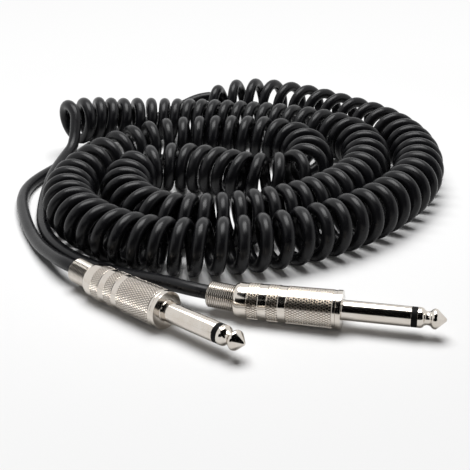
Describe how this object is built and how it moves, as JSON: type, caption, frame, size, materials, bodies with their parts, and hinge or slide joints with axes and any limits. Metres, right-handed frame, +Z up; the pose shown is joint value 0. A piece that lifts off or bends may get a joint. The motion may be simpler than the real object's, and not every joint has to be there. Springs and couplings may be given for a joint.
{
  "type": "instrument cable",
  "caption": "Curly instrument cable with straight leads and a mono jack plug with a knurled screw-on handle at each end, lying folded in loose rows.",
  "frame": {"origin": "on the surface the cable lies on, under the middle of the box that holds the two plugs", "axes": "+Z up; +X the long way of the pair of plugs, to the right in the picture; +Y away from the camera, towards the curls"},
  "size_m": [0.175, 0.236, 0.0256],
  "materials": {
    "jacket": "satin black jacket",
    "plating": "polished nickel plate",
    "ring": "gloss",
    "insulation": "matt",
    "washer": "matt",
    "lugs": "stamped",
    "solder": "satin",
    "liner": "matt",
    "copper": "bare copper"
  },
  "bodies": {
    "cable": {"curly_cord": "jacket", "left_braid": "copper", "left_cable_end": "jacket", "left_conductor": "copper", "left_core": "insulation", "left_core_tube": "insulation", "left_lead": "jacket", "left_rear_washer": "washer", "left_sleeve": "plating", "left_sleeve_lug": "lugs", "left_sleeve_solder": "solder", "left_tip": "plating", "left_tip_lug": "lugs", "left_tip_ring": "ring", "left_tip_solder": "solder", "right_braid": "copper", "right_cable_end": "jacket", "right_conductor": "copper", "right_core": "insulation", "right_core_tube": "insulation", "right_lead": "jacket", "right_rear_washer": "washer", "right_sleeve": "plating", "right_sleeve_lug": "lugs", "right_sleeve_solder": "solder", "right_tip": "plating", "right_tip_lug": "lugs", "right_tip_ring": "ring", "right_tip_solder": "solder"},
    "right_rear": {"right_liner": "liner", "right_neck": "plating"},
    "right_barrel": {"right_handle": "plating"},
    "left_rear": {"left_liner": "liner", "left_neck": "plating"},
    "left_barrel": {"left_handle": "plating"}
  },
  "joints": [
    {"name": "right_back", "type": "slide", "parent": "cable", "child": "right_rear", "axis": [-0.9703, 0.2416, -0.0126], "range_m": [0, 0.003]},
    {"name": "right_unscrew", "type": "hinge", "parent": "right_rear", "child": "right_barrel", "pos_m": [0.02913, -0.00581, 0.00612], "axis": [-0.9703, 0.2416, -0.0126], "range_deg": [0, 1440]},
    {"name": "left_back", "type": "slide", "parent": "cable", "child": "left_rear", "axis": [-0.7521, 0.6589, -0.0126], "range_m": [0, 0.003]},
    {"name": "left_unscrew", "type": "hinge", "parent": "left_rear", "child": "left_barrel", "pos_m": [-0.02464, -0.00505, 0.00612], "axis": [-0.7521, 0.6589, -0.0126], "range_deg": [0, 1440]}
  ],
  "couplings": [
    {"joint": "right_back", "follows": "right_unscrew", "m_per_rad": 0.00011937},
    {"joint": "left_back", "follows": "left_unscrew", "m_per_rad": 0.00011937}
  ]
}
